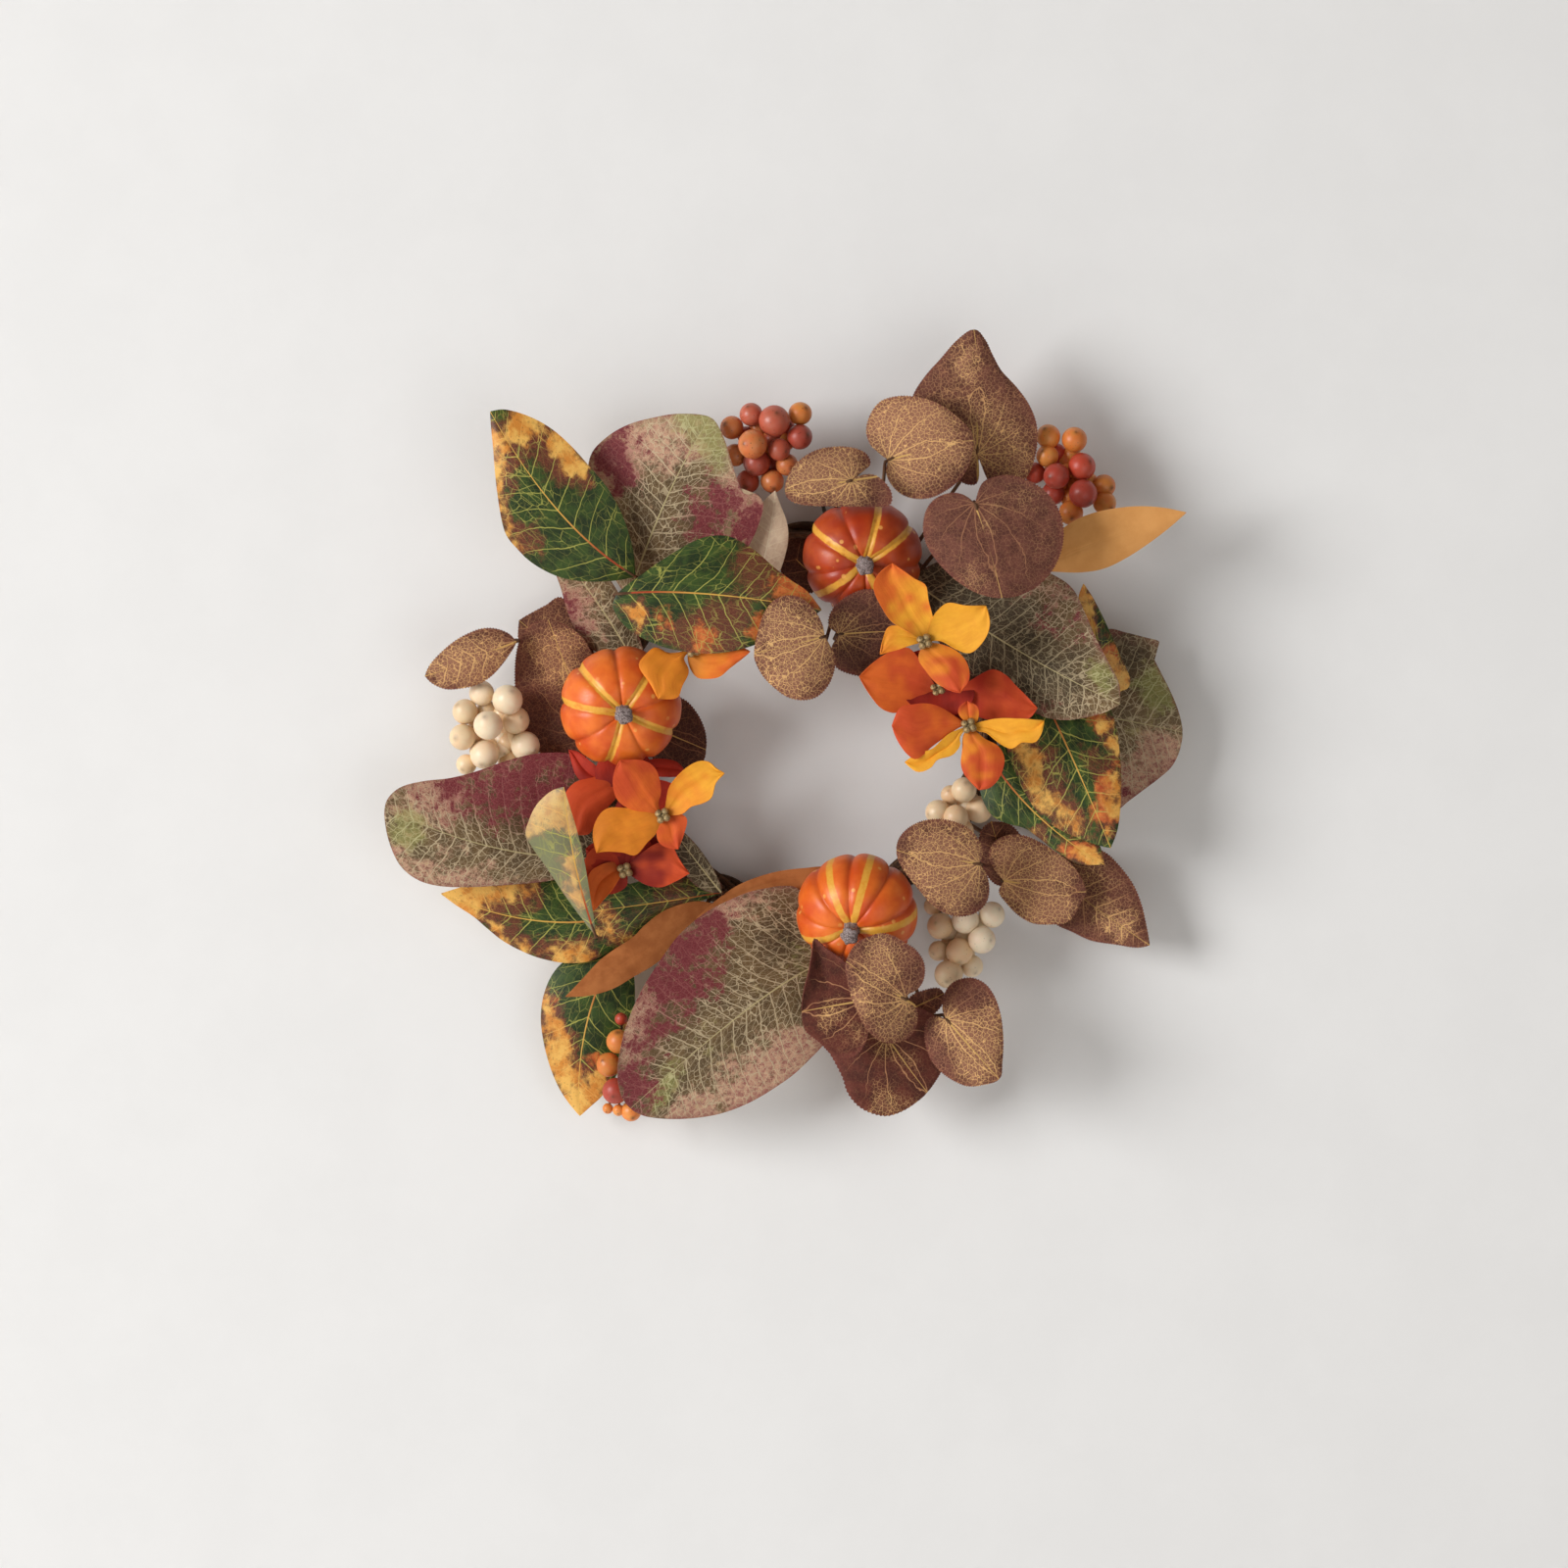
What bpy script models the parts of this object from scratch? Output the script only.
"""Harvest door wreath: a twig ring carrying wired leaf picks, berry clusters,
small pumpkins and cloth florets.  Every physical piece is its own closed solid.

Frame: origin on the ring's flat back (the door plane) at the top of the ring,
+Z up, +X to the right seen from the front, the front faces -Y.  Metres.
"""
import math

import bmesh
import bpy
import numpy as np
from mathutils import Matrix, Vector

for _old in list(bpy.data.objects):
    bpy.data.objects.remove(_old, do_unlink=True)

# ---------------------------------------------------------------- layout sheet
# The pieces are placed on a flat sheet parallel to the door: x to the right and
# y down, both in tenths of a millimetre.  Heights are mm in front of the door.
TENTH = .0001                     # metres
MM = .001                         # metres
RING_AT = (3260.0, 2940.0)        # ring centre on the sheet
CELL = 10.0                       # side of one cell of the laying map, tenths

# ---------------------------------------------------------- driving dimensions
# Ring, mm
RING_R = 76.0
RING_HALF = 6.6                   # half width of the tube
RING_FRONT = 12.6                 # depth
RING_BACK_FLAT = 8.6              # width of the flat back
RING_COVER = 3.4                  # kept free in front of the ring when laying
# Ring, metres
RING_MID = .0060                  # middle of the tube in front of the door
NECK_R, NECK_HALF = .0036, .0030  # groove for the hanger: radius, half length

# Hanger, metres
HANGER_SHIFT = 13.0               # mm to the right at a height of RING_R
HANGER_DEG = 90.0 - math.degrees(math.atan2(HANGER_SHIFT, RING_R))
HANGER_WIRE_R = .0008
HANGER_BEND = .0047               # radius of the bend round the ring
HANGER_RISE = .0265
HANGER_EYE_R = .0052
HANGER_START = .002               # foot of the strands above the tube's middle

# Leaves and florets
LEAF_THICK, PETAL_THICK = .0008, .0009   # metres
LEAF_ROWS, LEAF_COLS = 6, 4
FLORET_EYE = 28.0                 # least radius, tenths
FLORET_SPOKES, FLORET_RINGS = 26, 2
EYE_RINGS = ((24.0, 2.4), (16.8, 4.2))   # radius in tenths, height in mm
EYE_TOP, EYE_BOTTOM = 4.8, 1.4    # mm in front of and behind the floret's middle
LAY_GAP = .5                      # mm between stacked pieces

# Pumpkins: shape relative to the radius
PUMPKIN_FLAT, PUMPKIN_GROOVE, PUMPKIN_DIMPLE = .80, .07, .13
PUMPKIN_LONS, PUMPKIN_LATS = 27, 8
STEM_RADII = (4.3, 3.4, 2.9, 3.0, 3.5, 3.9, 3.4)   # mm, foot to knob
STEM_LENGTH = 7.5                 # mm
STEM_SIDES = 10
STEM_GAP = .25                    # mm between pumpkin and stem

# Wires
PICK_WIRE_R, SPINE_R = .0009, .0013      # metres: branch wire, bundle spine
BERRY_WIRE_R, BERRY_CORE_R = .0007, .0024
BERRY_FOOT = 9.0                  # mm from a cluster's middle back to its wire
WIRE_GAP = .45                    # mm between a wire's end and its piece
SPINE_H = RING_FRONT + 1.6        # mm
# name: start and end, degrees clockwise from the right seen from the front
BUNDLES = {
    'stem_bundle_left': (112.0, 248.0),
    'stem_bundle_top': (252.0, 338.0),
    'stem_bundle_right': (-18.0, 108.0),
}

# ---------------------------------------------------------------- layout table
# name: kind, rib (base, middle, tip), side A base->tip, side B base->tip,
#       pointed tip?, heights mm (base, tip, arch, edge A, edge B), wave mm
LEAVES = {
 'magnolia_leaf_inner': ('magnolia', [(2600,2728),(2424,2440),(2224,2188)],
    [(2500,2696),(2412,2644),(2352,2580),(2312,2488),(2284,2392),(2244,2280)],
    [(2620,2648),(2580,2540),(2512,2400),(2420,2280),(2320,2212)],
    1, (16,16,1,-1,-1), .6),
 'eucalyptus_leaf_inner_left': ('eucalyptus', [(2660,2968),(2768,3012),(2880,3060)],
    [(2648,3008),(2652,3072),(2688,3132),(2748,3160),(2816,3152),(2864,3112)],
    [(2676,2896),(2728,2844),(2792,2856),(2844,2912),(2876,2984)],
    0, (12,14,1,-1,-1), .6),
 'eucalyptus_leaf_left': ('eucalyptus', [(2404,3000),(2320,2760),(2236,2528)],
    [(2404,3072),(2340,3112),(2260,3104),(2192,3064),(2144,2984),(2112,2888),(2100,2788),
     (2104,2680),(2124,2604),(2168,2548)],
    [(2412,2952),(2416,2888),(2416,2820),(2420,2744),(2412,2672),(2372,2600),(2308,2552)],
    0, (10,18,1,-1,-1), .8),
 'eucalyptus_leaf_far_left': ('eucalyptus', [(2108,2620),(1940,2692),(1736,2760)],
    [(2076,2588),(2024,2568),(1968,2568),(1912,2588),(1856,2620),(1804,2664),(1760,2712)],
    [(2088,2656),(2052,2708),(2008,2756),(1952,2792),(1888,2808),(1824,2812),(1772,2792)],
    1, (32,34,2,-2,-2), .6),
 'croton_leaf_bottom': ('croton', [(2520,3856),(2388,4200),(2364,4560)],
    [(2572,3920),(2588,4008),(2588,4120),(2576,4220),(2552,4312),(2512,4396),(2456,4476),
     (2404,4524)],
    [(2440,3868),(2352,3896),(2284,3940),(2240,4000),(2212,4080),(2204,4168),(2216,4260),
     (2240,4352),(2276,4440),(2320,4508)],
    1, (17,17,2,-1,-2), 1.0),
 'croton_leaf_left': ('croton', [(2672,3700),(2248,3764),(1796,3648)],
    [(2600,3780),(2528,3852),(2460,3900),(2392,3928),(2300,3932),(2200,3912),(2120,3880),
     (2048,3840),(1988,3792),(1928,3740),(1860,3696)],
    [(2580,3616),(2460,3580),(2320,3580),(2180,3592),(2040,3604),(1920,3612)],
    1, (18,22,2,-2,-1), 1.0),
 'croton_leaf_lower_inner': ('croton', [(2952,3644),(2720,3680),(2396,3724)],
    [(2800,3700),(2708,3744),(2636,3792),(2572,3840),(2504,3868),(2444,3840),(2408,3784)],
    [(2900,3608),(2800,3588),(2680,3588),(2560,3612),(2456,3660)],
    1, (18,23,1,-1,-1), .4),
 'magnolia_leaf_left': ('magnolia', [(2580,3492),(2080,3472),(1576,3296)],
    [(2480,3536),(2340,3576),(2200,3600),(2060,3612),(1920,3620),(1800,3616),(1712,3592),
     (1644,3540),(1604,3468),(1580,3380)],
    [(2560,3352),(2500,3208),(2412,3116),(2320,3076),(2240,3072),(2164,3080),(2060,3108),
     (1948,3148),(1840,3176),(1736,3188),(1652,3208),(1600,3244)],
    0, (16,38,3,-3,-4), 1.2),
 'tan_leaf_lower_left': ('tan', [(2940,3700),(2624,3888),(2308,4068)],
    [(2860,3680),(2780,3692),(2700,3724),(2632,3776),(2580,3828),(2512,3872),(2448,3920),
     (2392,3980),(2344,4032)],
    [(2872,3760),(2800,3816),(2740,3876),(2672,3936),(2584,3988),(2500,4036),(2400,4064)],
    1, (19,32,2,-1,-1), .4),
 'tan_leaf_bottom': ('tan', [(3464,3584),(3140,3608),(2840,3748)],
    [(3380,3540),(3280,3544),(3180,3556),(3080,3584),(3000,3620),(2932,3668),(2880,3712)],
    [(3400,3628),(3300,3632),(3188,3640),(3080,3664),(2992,3700),(2912,3736)],
    1, (17.5,21,1,0,0), .3),
 'magnolia_leaf_bottom': ('magnolia', [(3332,3940),(3028,4136),(2576,4520)],
    [(3380,4012),(3396,4104),(3388,4200),(3360,4264),(3304,4324),(3240,4384),(3160,4440),
     (3080,4488),(3000,4524),(2920,4548),(2840,4560),(2760,4564),(2684,4560),(2624,4548)],
    [(3328,3820),(3304,3712),(3256,3628),(3200,3616),(3136,3624),(3060,3640),(2980,3672),
     (2900,3712),(2832,3760),(2768,3820),(2720,3884),(2668,3960),(2620,4040),(2580,4128),
     (2548,4220),(2528,4320),(2524,4400),(2540,4472)],
    0, (17,32,3,-4,5), 1.2),
 'magnolia_leaf_small': ('magnolia', [(2944,3644),(2840,3512),(2724,3352)],
    [(2888,3640),(2828,3604),(2776,3536),(2740,3448)],
    [(2940,3608),(2904,3536),(2852,3460),(2792,3396)],
    1, (21,30,1,0,0), .3),
 'magnolia_leaf_right': ('magnolia', [(4344,2896),(4600,2940),(4832,2988)],
    [(4380,2760),(4440,2644),(4520,2568),(4600,2580),(4680,2600),(4736,2616),(4712,2644),
     (4716,2688),(4748,2752),(4784,2824),(4816,2904)],
    [(4320,3024),(4340,3176),(4400,3280),(4480,3324),(4556,3312),(4608,3272),(4672,3224),
     (4736,3176),(4788,3128),(4820,3064)],
    0, (20,17,2,-2,2), 1.2),
 'eucalyptus_leaf_low_right': ('eucalyptus', [(4256,3544),(4472,3704),(4696,3860)],
    [(4340,3484),(4432,3464),(4512,3480),(4576,3540),(4628,3612),(4660,3688),(4680,3772)],
    [(4232,3620),(4248,3708),(4312,3772),(4380,3804),(4460,3840),(4560,3856),(4640,3868)],
    1, (16,22,2,-2,-2), .8),
 'eucalyptus_leaf_right': ('eucalyptus', [(4100,3596),(4272,3632),(4432,3640)],
    [(4060,3548),(4040,3492),(4060,3440),(4112,3412),(4180,3412),(4248,3440),(4312,3480),
     (4368,3524),(4408,3576)],
    [(4080,3640),(4112,3688),(4160,3736),(4220,3768),(4288,3772),(4352,3764),(4388,3728),
     (4412,3680)],
    0, (26,30,2,-2,-2), .7),
 'croton_leaf_right_back': ('croton', [(4024,3064),(4224,3320),(4504,3528)],
    [(4000,3128),(3996,3208),(4016,3280),(4052,3332),(4108,3360),(4180,3380),(4240,3420),
     (4312,3476),(4400,3524)],
    [(4120,3040),(4232,3120),(4336,3232),(4424,3352),(4484,3448)],
    1, (30,35,2,-2,-2), .8),
 'croton_leaf_right_edge': ('croton', [(4520,2880),(4472,2620),(4420,2384)],
    [(4452,2848),(4424,2760),(4408,2640),(4396,2520),(4400,2436)],
    [(4568,2824),(4604,2808),(4612,2768),(4584,2704),(4544,2616),(4504,2528),(4460,2444)],
    1, (30,36,1,1,-2), .4),
 'croton_leaf_right_front': ('croton', [(4224,2776),(4380,3112),(4528,3460)],
    [(4144,2848),(4108,2948),(4108,3056),(4140,3152),(4184,3244),(4240,3324),(4312,3380),
     (4400,3420),(4476,3448)],
    [(4312,2752),(4412,2784),(4504,2852),(4548,2952),(4564,3060),(4572,3180),(4568,3288),
     (4556,3384)],
    1, (36,42,3,-3,-3), .8),
 'magnolia_leaf_centre': ('magnolia', [(3712,2360),(4152,2656),(4564,2876)],
    [(3820,2296),(3940,2264),(4080,2272),(4200,2308),(4312,2356),(4380,2412),(4428,2512),
     (4472,2616),(4520,2708),(4560,2792)],
    [(3728,2432),(3772,2528),(3848,2640),(3948,2744),(4048,2812),(4140,2864),(4220,2908),
     (4272,2932),(4352,2940),(4432,2928),(4504,2908)],
    1, (21,50,4,-3,-3), .8),
 'croton_leaf_left_curled': ('croton', [(2432,3812),(2352,3520),(2308,3212)],
    [(2400,3772),(2360,3720),(2308,3648),(2264,3580),(2224,3520),(2184,3464),(2152,3404),
     (2164,3364),(2192,3292),(2232,3248),(2268,3224)],
    [(2428,3752),(2416,3672),(2404,3592),(2392,3520),(2376,3448),(2356,3372),(2332,3292)],
    1, (44,56,2,-5,0), .4),
 'magnolia_leaf_top_back': ('magnolia_back', [(3072,2444),(3132,2224),(3164,2004)],
    [(3040,2384),(3032,2288),(3048,2184),(3080,2100),(3124,2040)],
    [(3124,2424),(3164,2368),(3196,2296),(3216,2208),(3212,2136),(3184,2060)],
    1, (24,32,2,-1,-1), .4),
 'magnolia_leaf_top': ('magnolia', [(2564,2444),(2724,2032),(2900,1708)],
    [(2500,2340),(2448,2208),(2412,2060),(2400,1940),(2416,1852),(2480,1784),(2564,1736),
     (2664,1708),(2776,1692)],
    [(2664,2436),(2808,2400),(2940,2340),(3032,2264),(3076,2192),(3104,2120),(3116,2060),
     (3088,2020),(3040,2020),(3012,1968),(2984,1880),(2952,1784)],
    0, (28,38,4,-4,0), 1.2),
 'croton_leaf_top_left': ('croton', [(2596,2356),(2288,2096),(2008,1688)],
    [(2512,2372),(2400,2376),(2296,2360),(2220,2328),(2160,2288),(2116,2244),(2076,2196),
     (2056,2140),(2040,2048),(2028,1948),(2020,1840),(2012,1752)],
    [(2584,2240),(2544,2112),(2484,2000),(2408,1908),(2336,1828),(2264,1764),(2192,1720),
     (2120,1692),(2060,1680)],
    1, (42,50,3,-3,-2), .8),
 'croton_leaf_top_inner': ('croton', [(2524,2432),(2888,2432),(3352,2496)],
    [(2576,2388),(2632,2348),(2688,2308),(2756,2264),(2824,2224),(2888,2200),(2960,2196),
     (3020,2216),(3088,2260),(3160,2324),(3228,2376),(3292,2420)],
    [(2508,2480),(2536,2536),(2580,2580),(2640,2616),(2720,2648),(2820,2668),(2920,2672),
     (3020,2656),(3116,2624),(3208,2580),(3292,2536)],
    1, (58,56,3,-3,-3), .8),
 'eucalyptus_leaf_top': ('eucalyptus', [(3988,1852),(3996,1600),(3972,1352)],
    [(4032,1960),(4072,1996),(4128,1992),(4184,1952),(4216,1888),(4232,1800),(4224,1720),
     (4192,1648),(4144,1584),(4084,1520),(4048,1456),(4016,1392)],
    [(3992,1960),(3952,1976),(3896,1948),(3840,1912),(3780,1860),(3736,1788),(3716,1700),
     (3728,1616),(3776,1540),(3840,1468),(3904,1396)],
    0, (34,40,3,-3,-3), 1.0),
 'eucalyptus_leaf_top_left': ('eucalyptus', [(3624,1884),(3792,1828),(3968,1808)],
    [(3588,1856),(3552,1820),(3536,1764),(3552,1700),(3592,1648),(3652,1628),(3720,1628),
     (3792,1644),(3856,1676),(3912,1720),(3952,1764)],
    [(3616,1932),(3636,1980),(3676,2020),(3732,2040),(3800,2036),(3864,2004),(3916,1960),
     (3952,1896)],
    0, (48,52,2,-2,-2), .8),
 'eucalyptus_leaf_top_small': ('eucalyptus', [(3472,1972),(3344,2000),(3204,2016)],
    [(3516,1936),(3548,1904),(3532,1864),(3480,1840),(3408,1836),(3336,1848),(3272,1884),
     (3224,1940)],
    [(3524,1948),(3572,1952),(3616,1988),(3636,2032),(3620,2072),(3520,2076),(3400,2076),
     (3296,2072),(3232,2056)],
    0, (60,62,1,-3,-1), .5),
 'tan_leaf_right': ('tan', [(4180,2340),(4504,2208),(4836,2096)],
    [(4216,2272),(4276,2208),(4340,2156),(4408,2116),(4500,2088),(4620,2072),(4732,2076)],
    [(4280,2336),(4400,2340),(4500,2324),(4592,2280),(4684,2220),(4768,2156)],
    1, (44,44,2,-1,-2), .6),
 'eucalyptus_leaf_top_front': ('eucalyptus', [(3972,2068),(4024,2232),(4080,2448)],
    [(4000,1988),(4048,1960),(4116,1952),(4184,1972),(4244,2008),(4288,2056),(4316,2112),
     (4328,2176),(4320,2252),(4288,2328),(4236,2388),(4164,2432)],
    [(3928,2032),(3872,2024),(3812,2048),(3776,2096),(3764,2164),(3776,2228),(3808,2284),
     (3856,2340),(3916,2392),(3992,2432)],
    0, (64,68,3,-4,-3), 1.0),
 'eucalyptus_leaf_inner_right': ('eucalyptus', [(3424,2592),(3540,2584),(3660,2580)],
    [(3384,2560),(3388,2512),(3420,2468),(3472,2432),(3532,2412),(3592,2428),(3636,2496)],
    [(3396,2640),(3392,2680),(3412,2724),(3456,2748),(3512,2760),(3568,2752),(3620,2720),
     (3648,2656)],
    0, (51,50,0,4,-3), .5),
 'eucalyptus_leaf_inner': ('eucalyptus', [(3364,2604),(3232,2640),(3080,2672)],
    [(3400,2672),(3404,2728),(3380,2796),(3336,2844),(3280,2860),(3216,2848),(3164,2812),
     (3120,2768),(3092,2720)],
    [(3352,2552),(3320,2496),(3272,2452),(3216,2440),(3160,2460),(3120,2512),(3096,2584)],
    0, (66,68,2,-3,-2), .6),
 'eucalyptus_leaf_bottom': ('eucalyptus', [(3620,4232),(3696,4340),(3784,4456)],
    [(3656,4144),(3700,4112),(3764,4120),(3828,4160),(3868,4224),(3872,4304),(3836,4380)],
    [(3572,4160),(3520,4144),(3456,4160),(3400,4208),(3380,4276),(3408,4332),(3440,4396),
     (3460,4456),(3500,4508),(3556,4540),(3620,4552),(3684,4532),(3740,4496)],
    0, (36,34,2,-2,-3), 1.0),
 'eucalyptus_leaf_low_pointed': ('eucalyptus', [(3536,4076),(3400,4100),(3272,4124)],
    [(3544,4180),(3524,4260),(3472,4308),(3400,4300),(3344,4248),(3288,4200)],
    [(3516,4000),(3472,3944),(3420,3900),(3368,3864),(3324,3828),(3312,3888),(3300,3960),
     (3280,4040)],
    0, (46,43,0,-1,9), .5),
 'eucalyptus_leaf_bottom_front': ('eucalyptus', [(3692,4072),(3576,4004),(3452,3916)],
    [(3728,4092),(3740,4136),(3732,4188),(3708,4224),(3668,4244),(3620,4248),(3572,4228),
     (3532,4188),(3504,4136),(3476,4068),(3456,3992)],
    [(3704,4048),(3736,4032),(3760,4000),(3768,3956),(3760,3912),(3728,3868),(3684,3840),
     (3644,3816),(3592,3804),(3536,3820),(3488,3848)],
    0, (54,60,2,-3,1), .8),
 'eucalyptus_leaf_bottom_right': ('eucalyptus', [(3860,4156),(3968,4280),(4072,4396)],
    [(3844,4108),(3856,4048),(3884,4012),(3928,3992),(3976,3992),(4020,4016),(4052,4060),
     (4072,4112),(4084,4176),(4088,4248),(4084,4328)],
    [(3812,4144),(3780,4168),(3772,4216),(3780,4272),(3804,4328),(3844,4372),(3892,4404),
     (3944,4424),(4000,4420)],
    0, (50,54,2,-2,-3), .8),
 'eucalyptus_leaf_lower_right': ('eucalyptus', [(3992,3524),(3824,3508),(3656,3468)],
    [(4020,3564),(4032,3624),(4020,3680),(3980,3720),(3920,3736),(3856,3724),(3800,3688),
     (3748,3628),(3700,3568),(3668,3516)],
    [(4004,3476),(3988,3428),(3952,3384),(3896,3356),(3828,3344),(3760,3352),(3704,3380),
     (3668,3420)],
    0, (50,54,2,-3,-3), .8),
}
# name: centre, height mm, petals [(tip, half width, rise mm), ...]
FLORETS = {
 'floret_left_back': ((2544,3224), 27,
    [((2308,3336),120,4),((2368,3088),72,-4),((2800,3152),88,-5),((2560,3448),80,-2)]),
 'floret_left_low': ((2552,3552), 36,
    [((2812,3572),84,1),((2416,3720),80,1),((2392,3464),80,-2),((2656,3392),72,-4)]),
 'floret_left_front': ((2708,3328), 48,
    [((2536,3104),104,7),((2960,3156),92,5),((2436,3484),96,1),((2788,3468),68,-3)]),
 'floret_left_top': ((2832,2656), 51,
    [((2704,2864),96,6),((3048,2672),88,1),((2952,2528),56,-2),((2704,2536),56,-2)]),
 'floret_right_back': ((3824,2816), 50,
    [((3504,2764),108,2),((3800,2656),72,0),((4228,2892),100,2),((3864,2968),56,-2)]),
 'floret_right_front': ((3948,2964), 58,
    [((3636,2964),100,4),((3696,3124),76,-1),((3992,3224),84,2),((4252,2952),72,4)]),
 'floret_right_top': ((3768,2624), 62,
    [((3632,2308),92,4),((4020,2504),92,4),((3908,2836),80,2),((3592,2664),60,1)]),
}
# name: height mm of the middle, colour, berries [(x, y, radius, extra height mm), ...]
BERRIES = {
 'berry_cluster_left': (22, (.8, .62, .42),
    [(2072,2856,62,8),(1964,2828,52,2),(1896,2904,52,2),(1994,2960,60,12),
     (2104,2940,56,2),(1886,3008,54,3),(1976,3080,60,2),(2142,3044,60,1),
     (2066,3028,44,-3),(1900,3120,42,-2),(2076,3108,48,-4)]),
 'berry_cluster_top_left': (26, (.62, .2, .06),
    [(3066,1692,48,4),(3266,1688,48,4),(3160,1720,64,9),(2986.4,1744,48,2),
     (3264,1784,52,6),(3072,1816,60,11),(3180,1836,46,7),(3000,1856,46,0),
     (3088,1888,56,4),(3212,1896,46,3),(3052,1964,48,0),(3152,1964,48,2),
     (3168,1772,48,-4)]),
 'berry_cluster_top_right': (24, (.7, .26, .05),
    [(4280,1780,50,2),(4386,1794,52,4),(4276,1860,46,3),(4416,1904,56,6),
     (4312,1944,54,8),(4224,1928,44,0),(4420,2016,58.4,9),(4508,1981.6,48,0),
     (4510,2052,48,2),(4372,2092,50.4,4),(4300,2012,48,0),(4352,1872,48,-4)]),
 'berry_cluster_lower_right': (24, (.75, .55, .36),
    [(3838,3780,54,4),(3940,3754.8,56,8),(4048,3733.6,54,6),(4006.8,3836,56,9),
     (3916,3884,56,6),(3832,3882,42,0),(3872,3976,58.4,6),(3968,3944,46,2),
     (3808,3700,36,-2),(3940,3828,48,-4)]),
 'berry_cluster_right': (26, (.8, .62, .42),
    [(3934,3224,52,6),(3880,3244,40,2),(3828,3316,52,6),(3900,3336,52,9),
     (3996,3304,56,0),(3928,3392,48,2),(3960,3280,48,-4)]),
 'berry_cluster_bottom': (26, (.65, .25, .06),
    [(2534.4,4160,26,0),(2524,4250.8,50,4),(2484,4346.4,50,2),(2512,4452,54,5),
     (2480,4526,22,0),(2524,4532,24,2),(2576,4536,42,2),(2592,4344,48,-1),
     (2584,4440,48,-1),(2584,4248,44,-1)]),
}
# name: centre, radius, height mm of the middle, tilt of the stem's axis in radians
#       (to the right, downwards)
PUMPKINS = {
 'pumpkin_left':   ((2536,2884), 248.0, 36, (.08, .18)),
 'pumpkin_top':    ((3520,2276), 244.0, 36, (.04, .20)),
 'pumpkin_bottom': ((3496,3720), 248.0, 38, (-.14, .44)),
}
# laying order, from the ring outwards
ORDER = [
 'magnolia_leaf_inner', 'eucalyptus_leaf_inner_left', 'eucalyptus_leaf_left',
 'berry_cluster_left', 'croton_leaf_bottom', 'croton_leaf_left', 'croton_leaf_lower_inner',
 'berry_cluster_bottom', 'magnolia_leaf_left', 'tan_leaf_lower_left', 'tan_leaf_bottom',
 'magnolia_leaf_small', 'magnolia_leaf_bottom', 'floret_left_back', 'pumpkin_left',
 'pumpkin_bottom', 'floret_left_low', 'floret_left_front', 'croton_leaf_left_curled',
 'eucalyptus_leaf_far_left', 'berry_cluster_top_left', 'magnolia_leaf_top_back',
 'magnolia_leaf_top', 'floret_left_top', 'croton_leaf_top_left', 'croton_leaf_top_inner',
 'berry_cluster_right', 'berry_cluster_lower_right', 'magnolia_leaf_right',
 'eucalyptus_leaf_low_right', 'eucalyptus_leaf_right', 'croton_leaf_right_back',
 'croton_leaf_right_edge', 'croton_leaf_right_front', 'eucalyptus_leaf_lower_right',
 'magnolia_leaf_centre', 'pumpkin_top', 'berry_cluster_top_right', 'eucalyptus_leaf_top',
 'eucalyptus_leaf_top_left', 'eucalyptus_leaf_top_small', 'tan_leaf_right',
 'eucalyptus_leaf_top_front', 'eucalyptus_leaf_inner_right', 'eucalyptus_leaf_inner',
 'floret_right_back', 'floret_right_front', 'floret_right_top', 'eucalyptus_leaf_bottom',
 'eucalyptus_leaf_low_pointed', 'eucalyptus_leaf_bottom_front',
 'eucalyptus_leaf_bottom_right']
# leaves whose origin is a joint near the base of the rib
HINGED = {
 'croton_leaf_top_left', 'eucalyptus_leaf_far_left', 'tan_leaf_right',
 'eucalyptus_leaf_inner', 'eucalyptus_leaf_bottom_right', 'eucalyptus_leaf_low_right',
 'croton_leaf_bottom', 'eucalyptus_leaf_lower_right', 'eucalyptus_leaf_top_left',
 'eucalyptus_leaf_top_front', 'magnolia_leaf_right', 'eucalyptus_leaf_top',
 'eucalyptus_leaf_top_small'}

# --------------------------------------------------------------------- colours
LEAF_RGB = {
    'magnolia': (.32, .14, .15),
    'magnolia_back': (.55, .36, .28),
    'croton': (.06, .12, .03),
    'tan': (.55, .25, .08),
    'eucalyptus': (.22, .09, .06),
}
FLORET_RGB = (.75, .22, .04)
PUMPKIN_RGB = (.75, .16, .02)
STEM_RGB = (.16, .12, .1)
RING_RGB = (.11, .06, .035)
HANGER_RGB = (.05, .04, .035)
BUNDLE_RGB = (.1, .07, .04)


# --------------------------------------------------------------- sheet helpers
def to_mm(tenths):
    return tenths*TENTH*1000


def to_tenths(mm):
    return mm/(TENTH*1000)


def world(x, y, height):
    """Point of the layout sheet -> metres in the wreath's frame."""
    return (float((x-RING_AT[0])*TENTH), float(-height*MM),
            float((RING_AT[1]-y)*TENTH - RING_R*MM))


def ring_point(angle, radius=RING_R):
    """Sheet x, y at an angle round the ring; radius in mm."""
    reach = to_tenths(radius)
    return RING_AT[0] + reach*math.cos(angle), RING_AT[1] + reach*math.sin(angle)


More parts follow.
